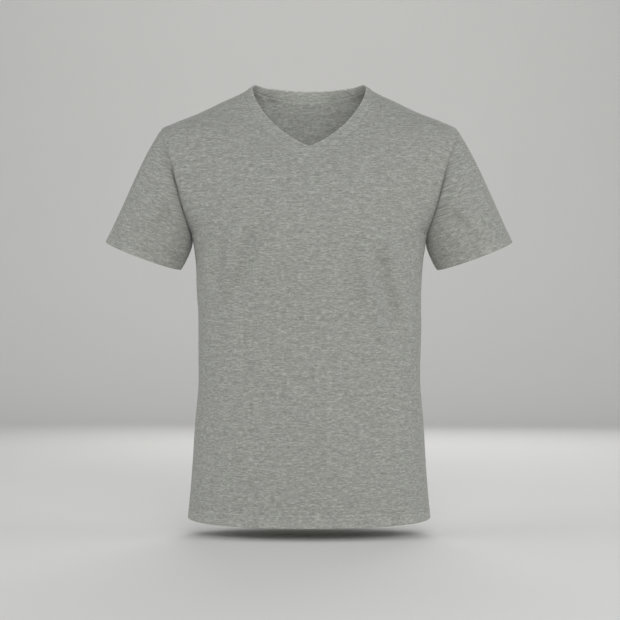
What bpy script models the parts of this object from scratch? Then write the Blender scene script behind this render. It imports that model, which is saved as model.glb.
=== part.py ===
"""A short-sleeved V-neck T-shirt in heather grey cotton jersey, filled out as it is worn, with nobody in it.

Metres, +Z up. The front faces -Y and the wearer's left side is at +X. The origin lies midway between
the two high points of the shoulders, where the neck band crosses the shoulder seams.

The torso is one skin: a section for each height, with a front half and a back half that meet at y = 0,
in the side seams and the shoulder seams. The front, the back, the sleeves and the neck band are cut from
that skin along the seams of a real T-shirt, and each is a closed wall of cloth.
"""

import math
from collections import namedtuple

import bmesh
import bpy
import numpy as np
from mathutils import Vector

MM = 0.001

# Cloth
WALL = 1.2 * MM
SEAM_GAP = 0.3 * MM
ARMHOLE_GAP = 0.35 * MM

# Heights on the torso
HEM = -0.7110
UNDERARM = -0.2465
SHOULDER_TIP = -0.0703
NECK_TOP = -0.0020
HEM_DIP = 0.0040
HEM_DIP_REACH = 0.15

# The torso's sections, from the hem up. Above the shoulder tips the half width is the shoulder line's.
# A roundness of 1 is an ellipse, and less is squarer.
Section = namedtuple("Section", "height half_width front back roundness")
SECTIONS = (
    Section(HEM, 0.1978, 0.124, 0.117, 0.90),
    Section(-0.6340, 0.1918, 0.122, 0.113, 0.88),
    Section(-0.5560, 0.1875, 0.119, 0.109, 0.86),
    Section(-0.4770, 0.1812, 0.117, 0.106, 0.85),
    Section(-0.3900, 0.1812, 0.120, 0.107, 0.84),
    Section(-0.3400, 0.1825, 0.124, 0.110, 0.83),
    Section(-0.3030, 0.1845, 0.128, 0.113, 0.82),
    Section(-0.2700, 0.1880, 0.130, 0.117, 0.82),
    Section(UNDERARM, 0.1930, 0.130, 0.119, 0.82),
    Section(-0.2000, 0.2065, 0.125, 0.120, 0.84),
    Section(-0.1590, 0.2170, 0.114, 0.119, 0.86),
    Section(-0.1220, 0.2270, 0.099, 0.113, 0.88),
    Section(-0.0864, 0.2400, 0.079, 0.102, 0.92),
    Section(SHOULDER_TIP, 0.2425, 0.071, 0.097, 0.95),
    Section(-0.0569, 0.2170, 0.063, 0.092, 1.00),
    Section(-0.0438, 0.1825, 0.056, 0.087, 1.00),
    Section(-0.0241, 0.1399, 0.047, 0.079, 1.00),
    Section(-0.0120, 0.1105, 0.043, 0.076, 1.00),
    Section(-0.0070, 0.1005, 0.041, 0.074, 1.00),
    Section(NECK_TOP, 0.0940, 0.039, 0.072, 1.00),
    Section(0.0060, 0.0885, 0.036, 0.069, 1.00),
)

# Armhole: how far its loop opens to the front and to the back, and how far short of the side the
# torso's section stops there
ARMHOLE_HALF_DEPTH = 0.048
ARMHOLE_TURN = math.radians(30)

# Neck band
BAND_WIDTH = 0.018
V_DEPTH = 0.1061
V_EDGE_BOW = ((0.0895, -0.0430), (0.0443, -0.0893))
V_SEAM_DEPTH = 0.1254
V_SEAM_BOW = ((0.1065, -0.0530), (0.0528, -0.1084))
# Round the back of the neck the edge rises a little, then sinks. The angle is 90 at the shoulder and
# 180 at the centre back.
NeckPoint = namedtuple("NeckPoint", "angle height")
BACK_NECK = (
    NeckPoint(90, NECK_TOP),
    NeckPoint(107, 0.0024),
    NeckPoint(135, -0.0004),
    NeckPoint(160, -0.0038),
    NeckPoint(180, -0.0045),
)
# How far the skin runs outwards for each metre down, on the shoulder and on the upper back
SHOULDER_RUN = 2.2
BACK_RUN = 0.4

# Sleeve, seen from the front: where its cuff's corners are, and the way its top, middle and underside
# leave the armhole and reach the cuff, as cubic curves do
CUFF_OUTER = Vector((0.3335, 0, -0.2570))
CUFF_INNER = Vector((0.2100, 0, -0.3028))
CUFF_HALF_DEPTH = 0.048
Lead = namedtuple("Lead", "place leave arrive")
TOP = Lead("top", Vector((0.100, 0, -0.110)), Vector((0.085, 0, -0.190)))
UNDERSIDE = Lead("underside", Vector((-0.006, 0, -0.038)), Vector((0.034, 0, -0.052)))
MIDDLE_SWELL = Vector((0.020, 0.055, -0.010))

# Main folds, seen from the front: ends, sideways bow, half width, and height out of the cloth
# (less than 0 is a trough). A panel of -1 is the front and 1 is the back.
Fold = namedtuple("Fold", "panel top_x top_z low_x low_z bow half_width height")
FOLDS = (
    Fold(-1, 0.080, -0.225, 0.092, -0.410, -0.014, 0.017, -0.0030),
    Fold(-1, 0.100, -0.250, 0.164, -0.470, -0.008, 0.016, -0.0042),
    Fold(-1, 0.112, -0.300, 0.150, -0.520, 0.004, 0.018, 0.0022),
    Fold(-1, 0.126, -0.235, 0.152, -0.325, 0.006, 0.013, -0.0026),
    Fold(-1, -0.080, -0.225, -0.130, -0.410, 0.006, 0.018, -0.0036),
    Fold(-1, -0.130, -0.245, -0.156, -0.375, 0.004, 0.014, -0.0030),
    Fold(-1, -0.106, -0.240, -0.140, -0.400, 0.004, 0.015, 0.0020),
    Fold(1, 0.070, -0.230, 0.120, -0.440, -0.008, 0.018, -0.0034),
    Fold(1, 0.125, -0.245, 0.150, -0.400, 0.005, 0.015, -0.0030),
    Fold(1, -0.078, -0.235, -0.112, -0.420, 0.008, 0.018, -0.0032),
    Fold(1, -0.128, -0.240, -0.160, -0.430, -0.004, 0.015, -0.0030),
    Fold(1, 0.030, -0.400, -0.020, -0.560, 0.010, 0.020, -0.0024),
)
FOLD_FADE_IN = 0.22
FOLD_FADE_OUT = 0.40
SEAM_FADE = 0.08

# Mesh
NECK_COLUMNS = 8
SHOULDER_COLUMNS = 10
NECK_COLUMNS_ANGLE = math.radians(45)
NECK_CROWDING = 1.8
COLUMN_SPREAD = 0.72
ROWS_BELOW = 13
ROW_CROWDING = 1.25
ROWS_ABOVE = 12
SLEEVE_ROWS = 8
BAND_ROWS = 3

Colour = namedtuple("Colour", "node red green blue roughness")
COLOURS = (
    Colour("front", 148, 149, 143, 0.92),
    Colour("back", 137, 138, 132, 0.92),
    Colour("sleeve_left", 149, 150, 144, 0.92),
    Colour("sleeve_right", 148, 149, 143, 0.92),
    Colour("neckband", 152, 153, 147, 0.94),
)


def smooth_curve(knots, values):
    """A curve through the knots that makes no wave of its own between them."""
    step = np.diff(knots)
    rise = np.diff(values) / step
    slope = np.zeros(len(knots))
    slope[0], slope[-1] = rise[0], rise[-1]
    for i in range(1, len(knots) - 1):
        if rise[i - 1] * rise[i] > 0:
            before, after = 2 * step[i] + step[i - 1], step[i] + 2 * step[i - 1]
            slope[i] = (before + after) / (before / rise[i - 1] + after / rise[i])

    def value(at):
        at = min(max(at, knots[0]), knots[-1])
        i = min(int(np.searchsorted(knots, at, side="right")) - 1, len(step) - 1)
        t = (at - knots[i]) / step[i]
        start = (1 + 2 * t) * (1 - t) ** 2 * values[i] + t * (1 - t) ** 2 * step[i] * slope[i]
        end = t * t * (3 - 2 * t) * values[i + 1] + t * t * (t - 1) * step[i] * slope[i + 1]
        return float(start + end)

    return value


def column_of(rows, name, over):
    return smooth_curve(
        np.array([getattr(r, over) for r in rows], float), np.array([getattr(r, name) for r in rows], float)
    )


HALF_WIDTH = column_of(SECTIONS, "half_width", "height")
FRONT = column_of(SECTIONS, "front", "height")
BACK = column_of(SECTIONS, "back", "height")
ROUNDNESS = column_of(SECTIONS, "roundness", "height")
BACK_NECK_HEIGHT = column_of(BACK_NECK, "height", "angle")
WIDEST = HALF_WIDTH(SHOULDER_TIP)


def smooth_step(x):
    x = min(max(x, 0.0), 1.0)
    return x * x * (3 - 2 * x)


def mixed(a, b, share):
    return a + (b - a) * share


def armhole_open(height):
    """From 0 at the underarm to 1 half way up and 0 at the shoulder tip, as an ellipse opens."""
    share = min(max((height - UNDERARM) / (SHOULDER_TIP - UNDERARM), 0.0), 1.0)
    return 2 * math.sqrt(share * (1 - share))


def skin(x, height, side):
    """The torso's point at x and a height, on the front (side -1) or on the back (side 1)."""
    across = min(abs(x) / HALF_WIDTH(height), 1.0)
    depth = FRONT(height) if side < 0 else BACK(height)
    hole = ARMHOLE_HALF_DEPTH * armhole_open(height)
    end = math.pi / 2 - ARMHOLE_TURN * armhole_open(height)
    turn = math.asin(across * math.sin(end))
    power = ROUNDNESS(height)
    end_share = max(math.cos(end), 0.0) ** power
    share = (max(math.cos(turn), 0.0) ** power - end_share) / (1 - end_share)
    low = smooth_step((HEM + HEM_DIP_REACH - height) / HEM_DIP_REACH) if side < 0 else 0.0
    return Vector((x, side * mixed(hole, depth, share), height - HEM_DIP * low * (1 - across * across)))


def shoulder_height(x):
    """The height of the shoulder line at x, between the neck and the shoulder tip."""
    low, high = SHOULDER_TIP, SECTIONS[-1].height
    for _ in range(40):
        middle = (low + high) / 2
        low, high = (middle, high) if HALF_WIDTH(middle) > x else (low, middle)
    return (low + high) / 2


def bezier(points, t):
    a, b, c, d = (Vector(p) for p in points)
    return a * (1 - t) ** 3 + b * 3 * t * (1 - t) ** 2 + c * 3 * t * t * (1 - t) + d * t**3


def band_drop(angle):
    """How much lower than its edge the band's seam lies, round the back of the neck."""
    run = SHOULDER_RUN * math.sin(angle) ** 2 + BACK_RUN * math.cos(angle) ** 2
    return BAND_WIDTH / math.hypot(1, run)


def neck_stations(side):
    """The band's edge and seam as pairs of (x, height), from the shoulder to the centre."""
    pairs = []
    seam_top = NECK_TOP - band_drop(math.pi / 2)
    edge = ((HALF_WIDTH(NECK_TOP), NECK_TOP), *V_EDGE_BOW, (0, -V_DEPTH))
    seam = ((HALF_WIDTH(seam_top), seam_top), *V_SEAM_BOW, (0, -V_SEAM_DEPTH))
    for i in range(NECK_COLUMNS + 1):
        share = i / NECK_COLUMNS
        if side < 0:
            along = share**NECK_CROWDING
            pairs.append((tuple(bezier(edge, along)), tuple(bezier(seam, along))))
        else:
            angle = math.pi / 2 * (1 + share)
            top = BACK_NECK_HEIGHT(math.degrees(angle))
            low = top - band_drop(angle)
            pairs.append(
                ((HALF_WIDTH(top) * math.sin(angle), top), (HALF_WIDTH(low) * math.sin(angle), low))
            )
    pairs[-1] = ((0.0, pairs[-1][0][1]), (0.0, pairs[-1][1][1]))
    return pairs


def half_panel(side):
    """The columns of half a panel, from the centre to the side, each from the hem up to its top seam."""
    neck = [seam for _, seam in reversed(neck_stations(side))]
    columns = []
    for i in range(NECK_COLUMNS + SHOULDER_COLUMNS + 1):
        if i <= NECK_COLUMNS:
            low_share = math.sin(NECK_COLUMNS_ANGLE * i / NECK_COLUMNS)
            top_x, top_z = neck[i]
            crowd = (i / NECK_COLUMNS) ** 2
        else:
            part = (i - NECK_COLUMNS) / SHOULDER_COLUMNS
            low_share = math.sin(mixed(NECK_COLUMNS_ANGLE, math.pi / 2, part))
            top_x = mixed(neck[-1][0], WIDEST, mixed(part, math.sin(part * math.pi / 2), 0.5))
            top_z = shoulder_height(top_x) if part < 1 else SHOULDER_TIP
            crowd = 1.0
        top_share = top_x / HALF_WIDTH(min(top_z, SHOULDER_TIP))
        column = []
        for j in range(ROWS_BELOW):
            height = mixed(UNDERARM, HEM, (1 - j / ROWS_BELOW) ** ROW_CROWDING)
            column.append(skin(low_share * HALF_WIDTH(height), height, side))
        for j in range(ROWS_ABOVE + 1):
            row = j / ROWS_ABOVE
            to_top = mixed(row, math.sin(row * math.pi / 2), crowd)
            round_hole = (1 - math.cos(row * math.pi)) / 2
            rise = mixed(to_top, round_hole, low_share**8)
            height = mixed(UNDERARM, top_z, rise)
            share = mixed(top_share, low_share, (1 - rise) ** COLUMN_SPREAD)
            x = share * HALF_WIDTH(min(height, SHOULDER_TIP))
            column.append(skin(top_x if j == ROWS_ABOVE else x, height, side))
        columns.append(column)
    return columns


def mirrored(point):
    return Vector((-point.x, point.y, point.z))


def panel(side):
    """A panel's points: rows from the hem up, columns from the wearer's right to the left."""
    half = half_panel(side)
    columns = [[mirrored(p) for p in column] for column in reversed(half[1:])] + half
    return [list(row) for row in zip(*columns)]


def neck_band():
    """The band's points: rows from its edge to its seam, columns once round from the front's point."""
    front, back = neck_stations(-1), neck_stations(1)
    left = [(-1, pair) for pair in reversed(front)] + [(1, pair) for pair in back[1:]]
    rows = []
    for i in range(BAND_ROWS + 1):
        row = []
        for side, (edge, seam) in left:
            shares = [abs(x) / HALF_WIDTH(z) for x, z in (edge, seam)]
            height = mixed(edge[1], seam[1], i / BAND_ROWS)
            across = mixed(shares[0], shares[1], i / BAND_ROWS)
            row.append(skin(across * HALF_WIDTH(height), height, side))
        rows.append(row + [mirrored(p) for p in reversed(row[1:-1])])
    return rows


def sleeve():
    """The wearer's left sleeve: rows from the armhole to the cuff, columns once round from the underarm."""
    rows = []
    middle, half = (CUFF_OUTER + CUFF_INNER) / 2, (CUFF_OUTER - CUFF_INNER) / 2
    for i in range(SLEEVE_ROWS + 1):
        t = i / SLEEVE_ROWS
        row = []
        for j in range(2 * ROWS_ABOVE):
            turn = math.pi * j / ROWS_ABOVE
            side = -1 if j <= ROWS_ABOVE else 1
            height = mixed(UNDERARM, SHOULDER_TIP, (1 - math.cos(turn)) / 2)
            start = skin(HALF_WIDTH(height), height, side)
            out = Vector((0, -CUFF_HALF_DEPTH * math.sin(turn), 0))
            end = middle - half * math.cos(turn) + out
            up = (1 - math.cos(turn)) / 2
            leave = mixed(UNDERSIDE.leave, TOP.leave, up) + Vector(
                (
                    MIDDLE_SWELL.x * abs(math.sin(turn)),
                    -MIDDLE_SWELL.y * math.sin(turn),
                    MIDDLE_SWELL.z * abs(math.sin(turn)),
                )
            )
            arrive = mixed(UNDERSIDE.arrive, TOP.arrive, up)
            row.append(
                start * (2 * t**3 - 3 * t**2 + 1)
                + leave * (t**3 - 2 * t**2 + t)
                + end * (3 * t**2 - 2 * t**3)
                + arrive * (t**3 - t**2)
            )
        rows.append(row)
    return rows


def key(point):
    return tuple(round(c, 6) for c in point)


def face_corners(rows, closed):
    """Each face of a grid as four (row, column) pairs, anticlockwise where columns run to the right."""
    wide = len(rows[0])
    for i in range(len(rows) - 1):
        for j in range(wide if closed else wide - 1):
            k = (j + 1) % wide
            yield (i, j), (i, k), (i + 1, k), (i + 1, j)


# A piece of the torso's skin is out of no armhole (0); a sleeve is out of the left one (1) or the right (-1).
Piece = namedtuple("Piece", "node rows closed turned out")


def outwards_of(rows):
    """The way out of the torso, square to an armhole, from a sleeve's first row."""
    up = (rows[0][ROWS_ABOVE] - rows[0][0]).normalized()
    return Vector((up.z, 0, -up.x)) * (1 if rows[0][0].x > 0 else -1)


def shared_normals(pieces):
    """The outward normal at each point of each piece, from all the faces that meet there.

    Where a sleeve and the torso meet in a ridge, both take the mean, which mitres their edges. Where they
    meet in a valley, their walls part on the inside, and each keeps its own.
    """
    sums = {}
    for piece in pieces:
        for corners in face_corners(piece.rows, piece.closed):
            a, b, c, d = (piece.rows[i][j] for i, j in corners)
            across = (c - a).cross(d - b).normalized() * (-1 if piece.turned else 1)
            for point in (a, b, c, d):
                place = (piece.out, key(point))
                sums[place] = sums.get(place, Vector()) + across
    own = {place: total.normalized() for place, total in sums.items()}
    shared = dict(own)
    for piece in pieces:
        if not piece.out:
            continue
        outwards = outwards_of(piece.rows)
        for point in piece.rows[0]:
            torso, sleeve = (0, key(point)), (piece.out, key(point))
            if (own[sleeve] - own[torso]).dot(outwards) > 0:
                shared[torso] = shared[sleeve] = (own[sleeve] + own[torso]).normalized()
    return shared


def fold_height(point, side):
    """How far the main folds lift the cloth at a point, or sink it."""
    total = 0.0
    for fold in FOLDS:
        if fold.panel != side:
            continue
        top, low = Vector((fold.top_x, fold.top_z)), Vector((fold.low_x, fold.low_z))
        along = low - top
        at = Vector((point.x, point.z)) - top
        u = at.dot(along) / along.length_squared
        if not 0 < u < 1:
            continue
        off = at.cross(along) / along.length + fold.bow * 4 * u * (1 - u)
        fade = smooth_step(u / FOLD_FADE_IN) * smooth_step((1 - u) / FOLD_FADE_OUT)
        total += fold.height * fade * math.exp(-((off / fold.half_width) ** 2))
    edge = 1 - min(abs(point.x) / HALF_WIDTH(point.z), 1.0)
    return total * smooth_step(edge / SEAM_FADE)


def folded(rows, side, normals):
    return [[p + normals[0, key(p)] * fold_height(p, side) for p in row] for row in rows]


def moved_back(point, inside, along, normal):
    """A seam's point moved square to the seam, into its own piece, by half the gap."""
    inwards = normal.cross(along).normalized()
    if inwards.dot(inside - point) < 0:
        inwards.negate()
    return point + inwards * (SEAM_GAP / 2)


def trimmed_panel(rows, side, normals):
    """A panel held back from its side seams, its shoulder seams and the neck band's seam."""
    out = [[Vector(p) for p in row] for row in rows]
    top, below = rows[-1], rows[-2]
    centre = len(top) // 2
    for j in range(centre - NECK_COLUMNS, centre + NECK_COLUMNS + 1):
        corner = abs(j - centre) == NECK_COLUMNS
        inside = top[j + (1 if j > centre else -1)] if corner else below[j]
        along = Vector((0, 1, 0)) if corner else top[j + 1] - top[j - 1]
        out[-1][j] = moved_back(top[j], inside, along, normals[0, key(top[j])])
    for row in out:
        for point in row:
            if abs(point.y) < SEAM_GAP / 2:
                point.y = side * SEAM_GAP / 2
    return out


def trimmed_band(rows, normals):
    """The band held back from its seam."""
    out = [[Vector(p) for p in row] for row in rows]
    seam, inside = rows[-1], rows[-2]
    for j in range(len(seam)):
        along = seam[(j + 1) % len(seam)] - seam[j - 1]
        out[-1][j] = moved_back(seam[j], inside[j], along, normals[0, key(seam[j])])
    return out


def set_off(rows):
    """A sleeve moved off the torso by the gap, square to the armhole."""
    outwards = outwards_of(rows)
    return [[p + outwards * ARMHOLE_GAP for p in row] for row in rows]


def material(node):
    colour = next(c for c in COLOURS if c.node == node)
    made = bpy.data.materials.new(f"jersey_{node}")
    made.use_nodes = True
    shader = made.node_tree.nodes["Principled BSDF"]
    linear = [(c / 255) ** 2.2 for c in (colour.red, colour.green, colour.blue)]
    shader.inputs["Base Color"].default_value = (*linear, 1)
    shader.inputs["Roughness"].default_value = colour.roughness
    shader.inputs["Metallic"].default_value = 0
    return made


def wall(piece, outer, normals):
    """One closed wall of cloth: the outer points, the inner points a wall's thickness in, and the rims."""
    mesh = bmesh.new()
    layers = []
    for depth in (0, WALL):
        layers.append(
            [
                [mesh.verts.new(p - normals[piece.out, key(q)] * depth) for p, q in zip(row, skin_row)]
                for row, skin_row in zip(outer, piece.rows)
            ]
        )
    outside, inside = layers
    for corners in face_corners(piece.rows, piece.closed):
        quad = corners[::-1] if piece.turned else corners
        mesh.faces.new([outside[i][j] for i, j in quad])
        mesh.faces.new([inside[i][j] for i, j in reversed(quad)])
    tall, wide = len(outer), len(outer[0])
    first = [(0, j) for j in range(wide)]
    last = [(tall - 1, j) for j in reversed(range(wide))]
    if piece.closed:
        rims = [first + first[:1], last + last[:1]]
    else:
        right = [(i, wide - 1) for i in range(1, tall)]
        left = [(i, 0) for i in reversed(range(tall - 1))]
        rims = [first + right + last[1:] + left]
    for rim in rims:
        for (i, j), (k, m) in zip(rim, rim[1:]):
            quad = [outside[k][m], outside[i][j], inside[i][j], inside[k][m]]
            mesh.faces.new(reversed(quad) if piece.turned else quad)
    data = bpy.data.meshes.new(piece.node)
    mesh.to_mesh(data)
    mesh.free()
    data.shade_smooth()
    data.set_sharp_from_angle(angle=math.radians(50))
    made = bpy.data.objects.new(piece.node, data)
    made.data.materials.append(material(piece.node))
    bpy.context.scene.collection.objects.link(made)
    return made


def build():
    for old in list(bpy.data.objects):
        bpy.data.objects.remove(old, do_unlink=True)
    left = sleeve()
    right = [[mirrored(p) for p in row] for row in left]
    plain = [
        Piece("front", panel(-1), False, False, 0),
        Piece("back", panel(1), False, True, 0),
        Piece("sleeve_left", left, True, True, 1),
        Piece("sleeve_right", right, True, False, -1),
        Piece("neckband", neck_band(), True, True, 0),
    ]
    flat = shared_normals(plain)
    pieces = [
        plain[0]._replace(rows=folded(plain[0].rows, -1, flat)),
        plain[1]._replace(rows=folded(plain[1].rows, 1, flat)),
        *plain[2:],
    ]
    normals = shared_normals(pieces)
    front, back, sleeve_left, sleeve_right, band = pieces
    wall(front, trimmed_panel(front.rows, -1, normals), normals)
    wall(back, trimmed_panel(back.rows, 1, normals), normals)
    wall(sleeve_left, set_off(sleeve_left.rows), normals)
    wall(sleeve_right, set_off(sleeve_right.rows), normals)
    wall(band, trimmed_band(band.rows, normals), normals)


build()
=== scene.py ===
"""A short-sleeved V-neck T-shirt in heather grey cotton jersey, filled out as it is worn.

Metres, +Z up. The front faces -Y and the wearer's left side is at +X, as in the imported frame. Each
piece of cloth is a thin wall on the form of its own solid, drawn finer, with the turned hems,
seams and folds laid on it. The curves are the CAD's, apart from small corrections: the shoulders
are up to 4 mm lower, the back of the neck up to 2 mm higher, the sleeves' tops up to 3 mm further
in, the cuffs' fronts 5 mm lower, and the hem's corners 3 mm higher.
"""

import math
from collections import namedtuple

import bmesh
import bpy
import numpy as np
from mathutils import Matrix, Vector, noise


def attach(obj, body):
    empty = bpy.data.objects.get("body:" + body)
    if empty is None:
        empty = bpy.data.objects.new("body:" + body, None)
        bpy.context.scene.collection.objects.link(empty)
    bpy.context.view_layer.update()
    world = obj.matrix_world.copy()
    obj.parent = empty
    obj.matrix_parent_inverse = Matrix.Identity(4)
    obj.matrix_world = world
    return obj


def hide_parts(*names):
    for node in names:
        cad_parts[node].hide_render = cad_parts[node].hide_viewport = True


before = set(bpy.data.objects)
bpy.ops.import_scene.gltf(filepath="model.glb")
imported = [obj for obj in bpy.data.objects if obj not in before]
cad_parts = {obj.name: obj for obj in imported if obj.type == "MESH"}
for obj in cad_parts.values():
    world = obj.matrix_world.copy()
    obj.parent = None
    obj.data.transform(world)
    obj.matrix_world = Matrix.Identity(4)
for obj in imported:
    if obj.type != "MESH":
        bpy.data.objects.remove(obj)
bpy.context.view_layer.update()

MM = 0.001

# Camera: level, straight in front, at the height of the middle of the picture
CAMERA_PLACE = Vector((0.00115, -3.5, -0.3685))
CAMERA_LENS = 124.0
SENSOR = 36.0

# Studio
FLOOR_HEIGHT = -0.7350
FLOOR_COLOUR = "EAE9E6"
FLOOR_FRONT = -6.0
FLOOR_BACK = 3.6
FLOOR_HALF_WIDTH = 6.0
WALL_HEIGHT = 3.5
SWEEP_RADIUS = 1.2
SWEEP_CELLS = 60

# Heights on the torso
HEM = -0.7110
UNDERARM = -0.2465
SHOULDER_TIP = -0.0740
NECK_TOP = -0.0020
# The hem's front hangs a little lower in the middle, and both panels rise at the side seams
HEM_DIP = 0.0040
HEM_DIP_REACH = 0.15
HEM_CORNER_LIFT = 0.0030
HEM_CORNER_REACH = 0.05
HEM_CORNER_POWER = 12

# The torso's sections, from the hem up. Above the shoulder tips the half width is the shoulder
# line's. A roundness of 1 is an ellipse, and less is squarer.
Section = namedtuple("Section", "height half_width front back roundness")
SECTIONS = (
    Section(HEM, 0.1978, 0.124, 0.117, 0.90),
    Section(-0.6340, 0.1918, 0.122, 0.113, 0.88),
    Section(-0.5560, 0.1875, 0.119, 0.109, 0.86),
    Section(-0.4770, 0.1812, 0.117, 0.106, 0.85),
    Section(-0.3900, 0.1812, 0.120, 0.107, 0.84),
    Section(-0.3400, 0.1825, 0.124, 0.110, 0.83),
    Section(-0.3030, 0.1845, 0.128, 0.113, 0.82),
    Section(-0.2700, 0.1880, 0.130, 0.117, 0.82),
    Section(UNDERARM, 0.1930, 0.130, 0.119, 0.82),
    Section(-0.2000, 0.2065, 0.125, 0.120, 0.84),
    Section(-0.1590, 0.2170, 0.114, 0.119, 0.86),
    Section(-0.1220, 0.2270, 0.099, 0.113, 0.88),
    Section(-0.0864, 0.2400, 0.079, 0.102, 0.92),
    Section(SHOULDER_TIP, 0.2425, 0.071, 0.097, 0.95),
    Section(-0.0608, 0.2170, 0.063, 0.092, 1.00),
    Section(-0.0474, 0.1825, 0.056, 0.087, 1.00),
    Section(-0.0273, 0.1399, 0.047, 0.079, 1.00),
    Section(-0.0142, 0.1105, 0.043, 0.076, 1.00),
    Section(-0.0080, 0.1005, 0.041, 0.074, 1.00),
    Section(NECK_TOP, 0.0940, 0.039, 0.072, 1.00),
    Section(0.0060, 0.0885, 0.036, 0.069, 1.00),
)

# Armhole: how far its loop opens to the front and to the back, how far short of the side the
# torso's section stops there, and about where its middle is
ARMHOLE_HALF_DEPTH = 0.048
ARMHOLE_TURN = math.radians(30)
ARMHOLE_MIDDLE = (0.218, 0, -0.158)

# Neck band
BAND_WIDTH = 0.018
V_DEPTH = 0.1061
V_EDGE_BOW = ((0.0895, -0.0430), (0.0443, -0.0893))
V_SEAM_DEPTH = 0.1254
V_SEAM_BOW = ((0.1065, -0.0530), (0.0528, -0.1084))
# Round the back of the neck the edge rises a little, then sinks. The angle is 90 at the shoulder
# and 180 at the centre back.
NeckPoint = namedtuple("NeckPoint", "angle height")
BACK_NECK = (
    NeckPoint(90, NECK_TOP),
    NeckPoint(103, 0.0024),
    NeckPoint(133, -0.0001),
    NeckPoint(150, -0.0013),
    NeckPoint(165, -0.0025),
    NeckPoint(180, -0.0029),
)
# How far the skin runs outwards for each metre down, on the shoulder and on the upper back
SHOULDER_RUN = 2.2
BACK_RUN = 0.4

# Sleeve, seen from the front: where its cuff's corners are, how much lower the cuff's front hangs
# than its middle, and the way its top, middle and underside leave the armhole and reach the cuff
CUFF_OUTER = np.array((0.3328, 0, -0.2570))
CUFF_INNER = np.array((0.2100, 0, -0.3028))
CUFF_HALF_DEPTH = 0.048
CUFF_TILT = 0.0050
Lead = namedtuple("Lead", "leave arrive")
TOP = Lead(np.array((0.080, 0, -0.112)), np.array((0.092, 0, -0.190)))
UNDERSIDE = Lead(np.array((-0.022, 0, -0.038)), np.array((0.034, 0, -0.052)))
MIDDLE_SWELL = np.array((0.020, 0.055, -0.010))

# How the panels' columns and rows spread
NECK_COLUMNS_ANGLE = math.radians(45)
NECK_CROWDING = 1.8
COLUMN_SPREAD = 0.72
COLUMN_SPREAD_FROM = 0.0086
ARMHOLE_ROWS_POWER = 8
# One more column lies this share of a cell from the side
SIDE_COLUMN = 0.4

# Cloth: one layer of jersey, two where it is turned, and the overlocked allowances inside the seams
WALL = 1.2 * MM
TURNED = 2.1 * MM
ALLOWANCE = 0.9 * MM
ALLOWANCE_WIDTH = 6.0 * MM
HEM_WIDTH = 22.0 * MM
CUFF_WIDTH = 20.0 * MM
TWIN_GAUGE = 5.6 * MM

# A seam's groove and the soft swell beside it
GROOVE = 0.85 * MM
GROOVE_REACH = 1.4 * MM
GROOVE_TOP_SHARE = 0.30
GROOVE_FADE = 0.13
INNER_GROOVE = 0.5 * MM
INNER_GROOVE_REACH = 0.9 * MM
SEAM_SWELL = 0.35 * MM
SEAM_SWELL_AT = 5.0 * MM
SEAM_SWELL_REACH = 3.0 * MM

# Fineness: cells between the centre and the neck's corner, from there to the side, below and above
# the underarm, along a sleeve, and across the neck band. The rows crowd at the edges and their
# stitching.
NECK_CELLS = 40
SHOULDER_CELLS = 46
LOW_CELLS = 84
HIGH_CELLS = 60
SLEEVE_CELLS = 44
BAND_CELLS = 14
EDGE_ROWS = (0.0, 0.12 * MM, 0.35 * MM, 0.7 * MM, 1.05 * MM, 2.0 * MM)
BAND_EDGE_ROWS = EDGE_ROWS[:5]
HEM_ROWS = np.arange(4.0, 30.0, 1.4) * MM
CUFF_ROWS = np.arange(3.4, 24, 1.4) * MM
ARMHOLE_ROWS = np.array((0.5, 1.0, 1.8)) * MM
# A height is found by halving what it can be this often
HALVINGS = 40
# Points of the sheets this near are one point, and so are verts where a tube closes
SAME_POINT = 0.01 * MM
SAME_VERT = 0.001 * MM
SHARP_ANGLE = math.radians(55)

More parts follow.
